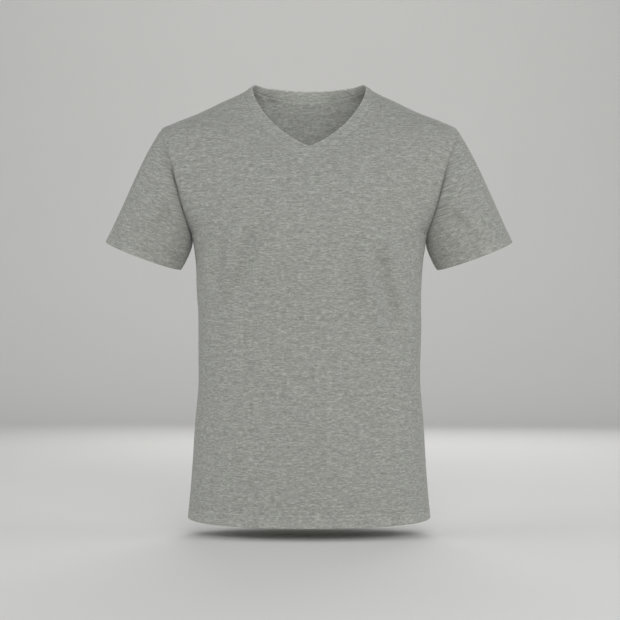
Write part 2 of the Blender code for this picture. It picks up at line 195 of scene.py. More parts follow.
# Folds, seen from the front: each one's line in millimetres, its half width, its height out of the
# cloth (less than 0 is a trough), and the side on which a softer companion of the other kind lies
# (0 for none). A panel of -1 is the front of the shirt and 1 is the back.
Fold = namedtuple("Fold", "panel half_width height lean line")
FOLDS = (
    # Front, from the wearer's left armhole down and in
    Fold(-1, 13, -5.8, 1, ((80, -238), (73, -282), (70, -330), (78, -372), (92, -415))),
    Fold(
        -1, 14, -8.2, 1,
        ((100, -250), (109, -289), (118, -330), (134, -380), (146, -425), (166, -475)),
    ),
    Fold(-1, 11, -5.8, -1, ((126, -250), (140, -270), (145, -290), (152, -325))),
    Fold(-1, 8, -3.7, 1, ((155, -246), (161, -268), (166, -292))),
    Fold(-1, 11, 6.2, 0, ((94, -310), (102, -356), (110, -394), (120, -440))),
    Fold(-1, 8, 4.7, 0, ((116, -258), (125, -277), (126, -304))),
    Fold(-1, 7, -3.5, 1, ((176, -262), (180, -244), (187, -228))),
    # Front, from the wearer's right armhole down and out
    Fold(-1, 14, -7.3, -1, ((-80, -232), (-95, -262), (-104, -305), (-119, -350), (-128, -405))),
    Fold(-1, 11, -5.8, -1, ((-129, -248), (-141, -275), (-144, -305), (-153, -345), (-158, -380))),
    Fold(-1, 11, 6.6, 0, ((-113, -240), (-121, -268), (-126, -315), (-138, -365))),
    Fold(-1, 7, -2.9, 1, ((-166, -252), (-174, -275), (-177, -305))),
    # Chest, beside the armholes
    Fold(-1, 15, -3.9, -1, ((-197, -126), (-181, -164), (-160, -200), (-142, -226))),
    Fold(-1, 10, 4.3, 0, ((-214, -120), (-204, -154), (-190, -178))),
    Fold(-1, 14, -2.9, 1, ((190, -132), (178, -168), (160, -206))),
    # Waist and hem, very soft
    Fold(-1, 26, -3.1, 1, ((-60, -470), (-74, -540), (-70, -620))),
    Fold(-1, 24, -2.9, -1, ((62, -500), (84, -570), (92, -650))),
    Fold(-1, 20, 3.9, 0, ((10, -430), (16, -510), (6, -590))),
    # Sleeves, front
    Fold(-1, 12, -3.2, 1, ((214, -206), (232, -222), (252, -246), (262, -268))),
    Fold(-1, 14, -2.0, -1, ((250, -130), (266, -170), (292, -214))),
    Fold(-1, 12, -3.1, -1, ((-216, -204), (-230, -226), (-246, -244), (-262, -272))),
    Fold(-1, 14, -2.2, 1, ((-246, -124), (-268, -176), (-286, -216))),
    Fold(-1, 9, 1.7, 0, ((-232, -190), (-248, -214), (-272, -236))),
    # Back
    Fold(1, 14, -4.5, 1, ((70, -226), (86, -290), (104, -360), (122, -445))),
    Fold(1, 12, -3.9, -1, ((124, -242), (134, -300), (142, -350), (152, -405))),
    Fold(1, 11, 2.4, 0, ((98, -236), (112, -290), (120, -340))),
    Fold(1, 14, -4.2, -1, ((-76, -232), (-84, -290), (-98, -350), (-114, -425))),
    Fold(1, 12, -3.9, 1, ((-126, -240), (-136, -300), (-150, -370), (-162, -435))),
    Fold(1, 10, 2.2, 0, ((-104, -238), (-112, -286), (-124, -336))),
    Fold(1, 20, -3.0, 1, ((34, -395), (12, -450), (-4, -505), (-22, -565))),
    Fold(1, 22, -2.1, -1, ((-20, -430), (-46, -500), (-58, -580))),
    Fold(1, 26, -2.2, 1, ((0, -120), (4, -190), (-2, -260), (6, -330))),
    Fold(1, 16, -2.1, -1, ((188, -128), (172, -170), (150, -212))),
    Fold(1, 16, -2.2, 1, ((-192, -124), (-174, -166), (-150, -216))),
    # Inside of the back, beside the wearer's right shoulder
    Fold(1, 7, -2.0, 1, ((-75, 4), (-76, -20), (-74, -48))),
    # Sleeves, back
    Fold(1, 13, -3.0, -1, ((216, -208), (236, -226), (258, -254))),
    Fold(1, 15, -2.1, 1, ((250, -126), (272, -172), (296, -220))),
    Fold(1, 13, -2.8, 1, ((-214, -206), (-236, -230), (-256, -250))),
    Fold(1, 14, -1.8, -1, ((-252, -130), (-270, -176), (-298, -216))),
)
# A fold fades in and out over shares of its length, and near the seams: on a panel over a distance,
# and on a sleeve over a share of its half width
FOLD_FADE_IN = 0.16
FOLD_FADE_OUT = 0.50
FOLD_SEAM_FADE = 9.0 * MM
FOLD_SLEEVE_SEAM_FADE = 0.35
FOLD_STEPS = 28
# How far a fold reaches, in half widths, and its companion's height, place and half width, as
# shares of its own
FOLD_REACH = 4.5
COMPANION = 0.75
COMPANION_PLACE = 1.9
COMPANION_WIDTH = 1.25

# The drape between the folds: slow swells, longer down than across
Swell = namedtuple("Swell", "across down height seed")
SWELLS = (Swell(0.075, 0.210, 0.0011, 7.3), Swell(0.030, 0.090, 0.00032, 14.6))

# The neck band's soft crown, and the mitred join at the point of its V
BAND_CROWN = 0.25 * MM
MITRE_GROOVE = 0.45 * MM
MITRE_REACH = 0.9 * MM

# Above this height the panels' courses turn from level in the cloth to straight across the shirt
COURSES_TURN = -0.130
COURSES_TURN_REACH = 0.060

# How much brighter the cloth is painted, in units of the jersey's gain: a painted highlight on the
# turned hem and cuffs, painted light lifting the shade on the inner faces, and a painted highlight
# on the neck band's folded edge
HEM_PAINTED_HIGHLIGHT = 0.36
CUFF_PAINTED_HIGHLIGHT = 0.20
INSIDE_PAINTED_LIGHT = 2.8
RIM_HIGHLIGHT_REACH = 1.8 * MM
RIM_PAINTED_HIGHLIGHT = 1.5

# Stitching. A stitch's middle stands out of the cloth by THREAD_OUT of its radius.
STITCH_PITCH = 3.0 * MM
STITCH_LENGTH = 2.5 * MM
THREAD_RADIUS = 0.20 * MM
THREAD_OUT = 0.4
STITCH_CHANNEL = 0.40 * MM
STITCH_CHANNEL_REACH = 1.1 * MM

# A turned edge: its thickness steps down over a short way, its fold is nearly a half round, and it
# lifts and puckers, in slanted ripples that fade out above the stitching
STEP_REACH = 0.8 * MM
ROUND_MOST = 0.94
TURN_LIFT = 0.30 * MM
TURN_LIFT_REACH = 3 * MM
PUCKER = 0.32 * MM
PUCKER_SIZE = (0.011, 0.011, 0.030)
PUCKER_SEED = (3.1, 8.4, 1.7)
PUCKER_SLANT = (0.45, 0.45, 0.0)
PUCKER_ABOVE = 6 * MM
PUCKER_REACH = 12 * MM


def smooth_step(x):
    x = np.clip(x, 0.0, 1.0)
    return x * x * (3 - 2 * x)


def mixed(a, b, share):
    return a + (b - a) * share


def bump(distance, reach):
    return np.exp(-((distance / reach) ** 2))


def unit(vectors):
    return vectors / np.maximum(np.linalg.norm(vectors, axis=-1, keepdims=True), 1e-12)


def smooth_curve(knots, values):
    """A curve through the knots that makes no wave of its own between them."""
    step = np.diff(knots)
    rise = np.diff(values) / step
    slope = np.zeros(len(knots))
    slope[0], slope[-1] = rise[0], rise[-1]
    for i in range(1, len(knots) - 1):
        if rise[i - 1] * rise[i] > 0:
            before, after = 2 * step[i] + step[i - 1], step[i] + 2 * step[i - 1]
            slope[i] = (before + after) / (before / rise[i - 1] + after / rise[i])

    def value(at):
        at = np.clip(at, knots[0], knots[-1])
        i = np.clip(np.searchsorted(knots, at, side="right") - 1, 0, len(step) - 1)
        t = (at - knots[i]) / step[i]
        start = (1 + 2 * t) * (1 - t) ** 2 * values[i] + t * (1 - t) ** 2 * step[i] * slope[i]
        end = t * t * (3 - 2 * t) * values[i + 1] + t * t * (t - 1) * step[i] * slope[i + 1]
        return start + end

    return value


def column_of(rows, name, over):
    """One column of a table as a smooth curve over another."""
    knots, values = (np.array([getattr(row, key) for row in rows], float) for key in (over, name))
    return smooth_curve(knots, values)


HALF_WIDTH = column_of(SECTIONS, "half_width", "height")
FRONT = column_of(SECTIONS, "front", "height")
BACK = column_of(SECTIONS, "back", "height")
ROUNDNESS = column_of(SECTIONS, "roundness", "height")
BACK_NECK_HEIGHT = column_of(BACK_NECK, "height", "angle")
WIDEST = float(HALF_WIDTH(SHOULDER_TIP))


def armhole_open(height):
    """From 0 at the underarm to 1 half way up and 0 at the shoulder tip, as an ellipse opens."""
    share = np.clip((height - UNDERARM) / (SHOULDER_TIP - UNDERARM), 0.0, 1.0)
    return 2 * np.sqrt(share * (1 - share))


def skin(x, height, side):
    """The torso's points at x and a height, on the front (side -1) or on the back (side 1)."""
    across = np.minimum(np.abs(x) / HALF_WIDTH(height), 1.0)
    depth = FRONT(height) if side < 0 else BACK(height)
    hole = ARMHOLE_HALF_DEPTH * armhole_open(height)
    end = math.pi / 2 - ARMHOLE_TURN * armhole_open(height)
    turn = np.arcsin(across * np.sin(end))
    power = ROUNDNESS(height)
    end_share = np.maximum(np.cos(end), 0.0) ** power
    share = (np.maximum(np.cos(turn), 0.0) ** power - end_share) / (1 - end_share)
    low = smooth_step((HEM + HEM_DIP_REACH - height) / HEM_DIP_REACH) if side < 0 else 0.0
    dip = HEM_DIP * low * (1 - across * across)
    near_hem = smooth_step((HEM + HEM_CORNER_REACH - height) / HEM_CORNER_REACH)
    dip = dip - HEM_CORNER_LIFT * near_hem * across**HEM_CORNER_POWER
    return np.stack(np.broadcast_arrays(x, side * mixed(hole, depth, share), height - dip), axis=-1)


def shoulder_height(x):
    """The height of the shoulder line at x, between the neck and the shoulder tip."""
    low = np.full_like(x, SHOULDER_TIP)
    high = np.full_like(x, SECTIONS[-1].height)
    for _ in range(HALVINGS):
        middle = (low + high) / 2
        wider = HALF_WIDTH(middle) > x
        low, high = np.where(wider, middle, low), np.where(wider, high, middle)
    return (low + high) / 2


def bezier(points, t):
    a, b, c, d = (np.array(p, float) for p in points)
    t = t[:, None]
    return a * (1 - t) ** 3 + b * 3 * t * (1 - t) ** 2 + c * 3 * t * t * (1 - t) + d * t**3


def band_drop(angle):
    """How much lower than its edge the band's seam lies, round the back of the neck."""
    run = SHOULDER_RUN * np.sin(angle) ** 2 + BACK_RUN * np.cos(angle) ** 2
    return BAND_WIDTH / np.hypot(1, run)


def neck_stations(side, share):
    """The band's edge and seam as (x, height), from the shoulder (share 0) to the centre (1)."""
    if side < 0:
        seam_top = NECK_TOP - band_drop(math.pi / 2)
        edge = ((float(HALF_WIDTH(NECK_TOP)), NECK_TOP), *V_EDGE_BOW, (0, -V_DEPTH))
        seam = ((float(HALF_WIDTH(seam_top)), seam_top), *V_SEAM_BOW, (0, -V_SEAM_DEPTH))
        along = share**NECK_CROWDING
        return bezier(edge, along), bezier(seam, along)
    angle = math.pi / 2 * (1 + share)
    top = BACK_NECK_HEIGHT(np.degrees(angle))
    low = top - band_drop(angle)
    around = np.where(share == 1, 0.0, np.sin(angle))
    return (
        np.stack((HALF_WIDTH(top) * around, top), axis=-1),
        np.stack((HALF_WIDTH(low) * around, low), axis=-1),
    )


def low_heights():
    """The rows' heights from the hem to the underarm, close at the hem's fold and stitching."""
    fine = [HEM + edge for edge in EDGE_ROWS]
    turn = HEM_ROWS + HEM
    rest = np.linspace(turn[-1], UNDERARM, LOW_CELLS)[1:]
    return np.concatenate((fine, turn, rest))


def high_rows():
    """The rows from the underarm (0, left out) to the top seam (1)."""
    rows = np.arange(1, HIGH_CELLS + 1) / HIGH_CELLS
    return np.insert(rows, -1, (rows[-1] + rows[-2]) / 2)


def half_panel(side):
    """Half a panel as rows from the hem up and columns from the centre to the side."""
    neck_part = np.arange(NECK_CELLS + 1) / NECK_CELLS
    side_part = np.arange(1, SHOULDER_CELLS + 1) / SHOULDER_CELLS
    side_part = np.insert(side_part, -1, 1 - SIDE_COLUMN / SHOULDER_CELLS)
    _, seam = neck_stations(side, 1 - neck_part)
    tip_x = mixed(seam[-1, 0], WIDEST, mixed(side_part, np.sin(side_part * math.pi / 2), 0.5))
    tip_z = np.where(side_part < 1, shoulder_height(tip_x), SHOULDER_TIP)
    top_x = np.concatenate((seam[:, 0], tip_x))
    top_z = np.concatenate((seam[:, 1], tip_z))
    side_angle = mixed(NECK_COLUMNS_ANGLE, math.pi / 2, side_part)
    low_share = np.concatenate((np.sin(NECK_COLUMNS_ANGLE * neck_part), np.sin(side_angle)))
    crowd = np.concatenate((neck_part**2, np.ones_like(side_part)))
    top_share = top_x / HALF_WIDTH(np.minimum(top_z, SHOULDER_TIP))
    heights = low_heights()[:, None]
    below = skin(low_share[None, :] * HALF_WIDTH(heights), heights + 0 * low_share[None, :], side)
    row = high_rows()[:, None]
    to_top = mixed(row, np.sin(row * math.pi / 2), crowd[None, :])
    round_hole = (1 - np.cos(row * math.pi)) / 2
    rise = mixed(to_top, round_hole, low_share[None, :] ** ARMHOLE_ROWS_POWER)
    height = mixed(UNDERARM, top_z[None, :], rise)
    short = 1 - rise
    spreading = short * np.maximum(short, COLUMN_SPREAD_FROM) ** (COLUMN_SPREAD - 1)
    share = mixed(top_share[None, :], low_share[None, :], spreading)
    x = share * HALF_WIDTH(np.minimum(height, SHOULDER_TIP))
    x[-1] = top_x
    above = skin(x, height, side)
    return np.concatenate((below, above))


def mirrored(points):
    return points * (-1, 1, 1)


def panel(side):
    """A panel's points: rows from the hem up, columns from the wearer's right to the left."""
    half = half_panel(side)
    return np.concatenate((mirrored(half[:, :0:-1]), half), axis=1)


def neck_band():
    """The band's points: rows from its edge to its seam, columns once round from the V's point."""
    cells = np.arange(NECK_CELLS + 1) / NECK_CELLS
    across = np.array(BAND_EDGE_ROWS) / BAND_WIDTH
    across = np.concatenate((across, np.linspace(across[-1], 1, BAND_CELLS + 1)[1:]))[:, None]
    halves = []
    for side, share in ((-1, cells[::-1]), (1, cells)):
        edge, seam = neck_stations(side, share)
        shares = [end[:, 0] / HALF_WIDTH(end[:, 1]) for end in (edge, seam)]
        height = mixed(edge[None, :, 1], seam[None, :, 1], across)
        x = mixed(shares[0][None, :], shares[1][None, :], across) * HALF_WIDTH(height)
        halves.append(skin(x, height, side))
    left = np.concatenate((halves[0], halves[1][:, 1:]), axis=1)
    return np.concatenate((left, mirrored(left[:, -2::-1])), axis=1)


def sleeve():
    """The left sleeve: rows from the armhole to the cuff, columns once round from the underarm."""
    half = np.concatenate(([0.0], high_rows())) * math.pi
    turn = np.concatenate((half, 2 * math.pi - half[-2::-1]))
    middle, reach = (CUFF_OUTER + CUFF_INNER) / 2, (CUFF_OUTER - CUFF_INNER) / 2
    length = float(np.linalg.norm(middle - ARMHOLE_MIDDLE))
    near_cuff = np.concatenate((EDGE_ROWS, CUFF_ROWS)) / length
    far = np.linspace(0, 1 - near_cuff[-1], SLEEVE_CELLS)[:-1]
    near_hole = ARMHOLE_ROWS / length
    t = np.unique(np.concatenate((far, near_hole, 1 - near_cuff)))[:, None, None]
    up = ((1 - np.cos(turn)) / 2)[:, None]
    around = np.sin(turn)[:, None]
    height = mixed(UNDERARM, SHOULDER_TIP, up[:, 0])
    front, back = (skin(HALF_WIDTH(height), height, side) for side in (-1, 1))
    start = np.where(turn[:, None] <= math.pi, front, back)
    # The cuff's front hangs lower than its back, square to the cuff as it is seen from the front
    front_way = unit(np.cross((0, 1, 0), reach)) * CUFF_TILT - np.array((0, CUFF_HALF_DEPTH, 0))
    end = middle - reach * np.cos(turn)[:, None] + front_way * around
    swell = MIDDLE_SWELL * np.concatenate((np.abs(around), -around, np.abs(around)), axis=1)
    leave = mixed(UNDERSIDE.leave, TOP.leave, up) + swell
    arrive = mixed(UNDERSIDE.arrive, TOP.arrive, up)
    return (
        start * (2 * t**3 - 3 * t**2 + 1)
        + leave * (t**3 - 2 * t**2 + t)
        + end * (3 * t**2 - 2 * t**3)
        + arrive * (t**3 - t**2)
    )


def spread(points, axis):
    """How far each point is from the first along rows (axis 1) or columns (axis 0)."""
    step = np.linalg.norm(np.diff(points, axis=axis), axis=2)
    zero = np.zeros_like(np.take(step, [0], axis=axis))
    return np.concatenate((zero, np.cumsum(step, axis=axis)), axis=axis)


def from_ends(points, axis):
    """The distances from the first and from the last point, along rows or columns."""
    first = spread(points, axis)
    return first, np.take(first, [-1], axis=axis) - first


def corner_normals(points):
    """Each cell's direction, as rows of unit vectors."""
    across = points[1:, 1:] - points[:-1, :-1]
    up = points[1:, :-1] - points[:-1, 1:]
    return unit(np.cross(across, up))


def shared_normals(sheets):
    """The outward normal at every point, taken over all the sheets, so that seams meet square."""
    points = np.concatenate([s.points.reshape(-1, 3) for s in sheets])
    _, same = np.unique(np.round(points / SAME_POINT).astype(int), axis=0, return_inverse=True)
    same = same.reshape(-1)
    total = np.zeros((same.max() + 1, 3))
    start = 0
    for sheet in sheets:
        rows, columns = sheet.points.shape[:2]
        index = same[start : start + rows * columns].reshape(rows, columns)
        start += rows * columns
        way = corner_normals(sheet.points) * (-1 if sheet.turned else 1)
        for corner in (index[:-1, :-1], index[:-1, 1:], index[1:, :-1], index[1:, 1:]):
            np.add.at(total, corner, way)
    total /= np.linalg.norm(total, axis=1, keepdims=True)
    normals, start = {}, 0
    for sheet in sheets:
        rows, columns = sheet.points.shape[:2]
        normals[sheet.node] = total[same[start : start + rows * columns]].reshape(rows, columns, 3)
        start += rows * columns
    return normals


def fold_relief(points, side):
    """How far the folds lift or sink the cloth at each point, whose side is -1 (front) or 1."""
    at = points[..., (0, 2)]
    total = np.zeros(at.shape[:2])
    for fold in FOLDS:
        line = np.array(fold.line, float) * MM
        knots = np.arange(len(line), dtype=float)
        fine = np.linspace(0, knots[-1], FOLD_STEPS)
        path = np.stack([smooth_curve(knots, line[:, k])(fine) for k in (0, 1)], axis=-1)
        tangent = np.gradient(path, axis=0)
        tangent /= np.linalg.norm(tangent, axis=1, keepdims=True)
        reach = FOLD_REACH * fold.half_width * MM
        low, high = path.min(axis=0) - reach, path.max(axis=0) + reach
        near = np.all((at > low) & (at < high), axis=-1) & (side == fold.panel)
        if not near.any():
            continue
        away = at[near][:, None, :] - path[None, :, :]
        closest = np.argmin(np.sum(away**2, axis=2), axis=1)
        off = away[np.arange(len(closest)), closest]
        along = np.sum(off * tangent[closest], axis=1)
        length = np.linalg.norm(np.diff(path, axis=0), axis=1).sum()
        u = closest / (len(path) - 1) + along / length
        square = off[:, 0] * tangent[closest, 1] - off[:, 1] * tangent[closest, 0]
        width = fold.half_width * MM
        shape = bump(square, width)
        if fold.lean:
            beside = square + fold.lean * COMPANION_PLACE * width
            shape = shape - COMPANION * bump(beside, COMPANION_WIDTH * width)
        fade = smooth_step(u / FOLD_FADE_IN) * smooth_step((1 - u) / FOLD_FADE_OUT)
        total[near] += fold.height * MM * fade * shape
    return total


def noise_at(points):
    values = [noise.noise(Vector(p)) for p in points.reshape(-1, 3)]
    return np.array(values).reshape(points.shape[:2])


def drape_relief(points):
    """The slow swells of cloth that hangs free between its folds."""
    total = np.zeros(points.shape[:2])
    for swell in SWELLS:
        scaled = points / (swell.across, swell.across, swell.down) + swell.seed
        total += swell.height * noise_at(scaled)
    return total


def seam_relief(distance, points):
    """A seam's groove, shallower towards the shoulders, and the swell beside it."""
    low = smooth_step((SHOULDER_TIP - points[..., 2]) / GROOVE_FADE)
    depth = GROOVE * mixed(GROOVE_TOP_SHARE, 1.0, low)
    swell = SEAM_SWELL * bump(distance - SEAM_SWELL_AT, SEAM_SWELL_REACH)
    return swell - depth * bump(distance, GROOVE_REACH)


def inside_seam(distance):
    """The thin line that a seam draws on the inner face."""
    return INNER_GROOVE * bump(distance, INNER_GROOVE_REACH)


def turn_relief(distance, width, points):
    """A turned edge: two stitched channels, and the cloth round them a little puckered."""
    rows = (width, width - TWIN_GAUGE)
    channels = sum(bump(distance - row, STITCH_CHANNEL_REACH) for row in rows)
    inside = smooth_step((width - distance) / TURN_LIFT_REACH)
    scaled = points / PUCKER_SIZE + PUCKER_SEED
    pucker = noise_at(scaled + scaled[..., (2, 2, 2)] * PUCKER_SLANT)
    near = smooth_step((width + PUCKER_ABOVE - distance) / PUCKER_REACH)
    return TURN_LIFT * inside - STITCH_CHANNEL * channels + PUCKER * pucker * near


def plateau(distance, width):
    """1 within the width, and 0 beyond it."""
    return smooth_step((width - distance) / STEP_REACH + 0.5)


def rounded(distance, thickness):
    """How much a folded edge draws in on each face, so that it ends in a half round."""
    radius = thickness / 2
    short = np.clip((radius - distance) / radius, 0.0, ROUND_MOST)
    return radius * (1 - np.sqrt(1 - short**2))


# One piece of cloth: its points on the form, whether it is a tube, whether its rows and columns
# turn the wrong way round, the way that its courses follow one another up, and the row on which a
# course lies level (0 the first, -1 the last)
Sheet = namedtuple("Sheet", "node points closed turned up datum")
# Its shape: how far the outer and the inner face lie out of the form, and how much painted light
# and painted highlight brighten it
Shape = namedtuple("Shape", "outer inner lighter")


def edged_shape(outer, inner, edge, lighter):
    """The two faces, drawn together where the cloth is folded round its edge."""
    draw = rounded(edge, TURNED)
    return Shape(outer - draw, inner + draw, lighter)


def panel_shape(points, side):
    left, right = from_ends(points, 1)
    hem, top = from_ends(points, 0)
    seam = np.minimum(np.minimum(left, right), top)
    sides = np.full(hem.shape, side)
    hang = fold_relief(points, sides) * smooth_step(seam / FOLD_SEAM_FADE) + drape_relief(points)
    outer = hang + seam_relief(seam, points) + turn_relief(hem, HEM_WIDTH, points)
    # The side allowances lie to the back, the armholes' to the sleeves, the neck's on the panels
    neck = np.abs(np.arange(points.shape[1]) - points.shape[1] // 2) <= NECK_CELLS
    allowance = seam if side > 0 else np.where(neck[None, :], top, np.inf)
    thickness = np.maximum(
        WALL + ALLOWANCE * plateau(allowance, ALLOWANCE_WIDTH),
        mixed(WALL, TURNED, plateau(hem, HEM_WIDTH)),
    )
    inner = hang - thickness + inside_seam(seam)
    # The turned hem is painted brighter: a painted highlight where it flares towards the light
    return edged_shape(outer, inner, hem, HEM_PAINTED_HIGHLIGHT * plateau(hem, HEM_WIDTH))


def sleeve_shape(points):
    hole, cuff = from_ends(points, 0)
    columns = points.shape[1]
    around = spread(points, 1)
    turn = 2 * math.pi * around / around[:, -1:]
    sides = np.where(np.arange(columns) <= columns // 2, -1, 1)[None, :] + 0 * hole
    seam = np.minimum(hole, np.minimum(around, around[:, -1:] - around))
    near_seam = smooth_step(np.abs(np.sin(turn)) / FOLD_SLEEVE_SEAM_FADE)
    fade = smooth_step(hole / FOLD_SEAM_FADE) * near_seam
    hang = fold_relief(points, sides) * fade + drape_relief(points)
    outer = hang + seam_relief(seam, points) + turn_relief(cuff, CUFF_WIDTH, points)
    thickness = np.maximum(
        WALL + ALLOWANCE * plateau(seam, ALLOWANCE_WIDTH),
        mixed(WALL, TURNED, plateau(cuff, CUFF_WIDTH)),
    )
    inner = hang - thickness + inside_seam(seam)
    # The turned cuffs are painted brighter: a painted highlight, as on the hem
    return edged_shape(outer, inner, cuff, CUFF_PAINTED_HIGHLIGHT * plateau(cuff, CUFF_WIDTH))


def band_shape(points):
    edge, seam = from_ends(points, 0)
    around = spread(points, 1)
    mitre = np.minimum(around, around[:, -1:] - around)
    hang = drape_relief(points)
    crown = BAND_CROWN * bump(edge - BAND_WIDTH / 2, BAND_WIDTH / 3)
    outer = hang + seam_relief(seam, points) + crown - MITRE_GROOVE * bump(mitre, MITRE_REACH)
    inner = hang - TURNED + inside_seam(seam)
    # A painted highlight along the band's folded edge, where its roll catches the light
    return edged_shape(outer, inner, edge, RIM_PAINTED_HIGHLIGHT * bump(edge, RIM_HIGHLIGHT_REACH))


def cloth_places(sheet):
    """Where each point lies in the flat cloth, in metres: along the courses, and up across them."""
    points = sheet.points
    way = unit(np.cross(np.gradient(points, axis=1), np.gradient(points, axis=0)))
    way *= -1 if sheet.turned else 1
    level = unit(np.cross(np.array(sheet.up, float), way))
    if sheet.up == UPRIGHT:
        # The shoulders face up, so there the courses keep running across the shirt
        ahead = np.array((1.0, 0, 0)) * np.sign(level[..., :1])
        ahead = unit(ahead - way * np.sum(ahead * way, axis=2, keepdims=True))
        turned = smooth_step((points[..., 2:] - COURSES_TURN) / COURSES_TURN_REACH)
        level = unit(mixed(level, ahead, turned))
    rising = np.cross(way, level)
    if sheet.datum:
        points, level, rising = points[::-1], level[::-1], rising[::-1]

    def run(direction, axis):
        step = np.diff(points, axis=axis)
        cells = np.arange(step.shape[axis])
        both_ends = np.take(direction, cells, axis=axis) + np.take(direction, cells + 1, axis=axis)
        total = np.cumsum(np.sum(step * both_ends / 2, axis=2), axis=axis)
        return np.concatenate((np.zeros_like(np.take(total, [0], axis=axis)), total), axis=axis)

    middle = points.shape[1] // 2
    u = run(level, 1)
    at_middle = u[:, middle : middle + 1]
    if sheet.node == "neckband":
        # Measured from the point of the V up both sides, so as to agree at the centre back
        column = np.arange(points.shape[1])
        surplus = np.where(column > middle, u[:, -1:] - u[:, -1:].mean(), 0.0)
        behind = at_middle - surplus - at_middle.mean()
        u = u - surplus - behind * smooth_step(1 - 2 * np.abs(column / middle - 1))
    else:
        u = u - at_middle
    along = run(rising, 1)[:1]
    v = run(rising, 0) + along
    places = np.stack((u, v - along[:, middle : middle + 1]), axis=-1)
    return places[::-1] if sheet.datum else places


def linear(hex_colour):
    """An sRGB hex colour as the renderer's linear colour."""
    parts = [int(hex_colour[i : i + 2], 16) / 255 for i in (0, 2, 4)]
    curved = [p / 12.92 if p <= 0.04045 else ((p + 0.055) / 1.055) ** 2.4 for p in parts]
    return (*curved, 1.0)


def darker(colour, share):
    return tuple(part * share for part in colour[:3]) + (1.0,)


def add_node(tree, kind, settings, inputs):
    """A node with its settings. An input is a value, or the socket that is linked to it."""
    node = tree.nodes.new(kind)
    for name, value in settings.items():
        setattr(node, name, value)
    for name, value in inputs.items():
        if isinstance(value, bpy.types.NodeSocket):
            tree.links.new(value, node.inputs[name])
        else:
            node.inputs[name].default_value = value
    return node


def new_material(name, roughness):
    made = bpy.data.materials.new(name)
    made.use_nodes = True
    tree = made.node_tree
    shader = tree.nodes["Principled BSDF"]
    shader.inputs["Roughness"].default_value = roughness
    shader.inputs["Metallic"].default_value = 0.0
    return made, tree, shader


# Heather: fibres of several greys are blended before spinning, so a yarn changes its tone every few
# centimetres, and knitted side by side these lengths show as short level streaks.
Streak = namedtuple("Streak", "long high strength seed")
STREAKS = (
    Streak(9.0 * MM, 2.4 * MM, 0.55, 1.0),
    Streak(4.0 * MM, 1.7 * MM, 0.45, 5.0),
    Streak(26.0 * MM, 7.0 * MM, 0.24, 9.0),
)
GRAIN_DETAIL = 1.5
GRAIN_ROUGHNESS = 0.55
# Where the dark, the middle and the light tone lie between 0 and 1
DARK_AT, MIDDLE_AT, LIGHT_AT = 0.30, 0.50, 0.70
# How much one unit of painted light or painted highlight brightens the jersey's colour
PAINTED_LIGHT_GAIN = 0.18
# The courses wander up and down, once in some 17 mm
COURSE_WANDER = 3.2 * MM
WANDERS_PER_METRE = 60.0
# On a T-shirt's jersey the wales are about 0.7 mm apart and the courses 0.5 mm. Both are too fine
# to show in the render, so they are drawn coarser.
WALE = 1.05 * MM
COURSE = 0.85 * MM
# The knit's relief: what each part adds, and how high a height of 1 is
RIB_HEIGHT = 0.70
LOOP_HEIGHT = 0.12
STREAK_HEIGHT = 1.2
KNIT_HEIGHT = 0.25 * MM
KNIT_STRENGTH = 0.35
# Cotton jersey is matt, with a weak sheen from its loose fibre ends. Cotton's IOR is about 1.5.
JERSEY_ROUGHNESS = 0.93
JERSEY_SHEEN = 0.18
JERSEY_SHEEN_ROUGHNESS = 0.6
JERSEY_SPECULAR = 0.25
JERSEY_IOR = 1.5
# Spun polyester thread is less matt. The twist of a 0.4 mm thread turns about once in as much.
THREAD_ROUGHNESS = 0.75
TWISTS_PER_METRE = 2600.0
THREAD_SHADE = 0.82
# Matt wall paint, faintly clouded by the roller
PAINT_ROUGHNESS = 0.85
PAINT_CLOUDS_PER_METRE = 2.2
PAINT_DETAIL = 3.0
PAINT_SHADE = 0.97


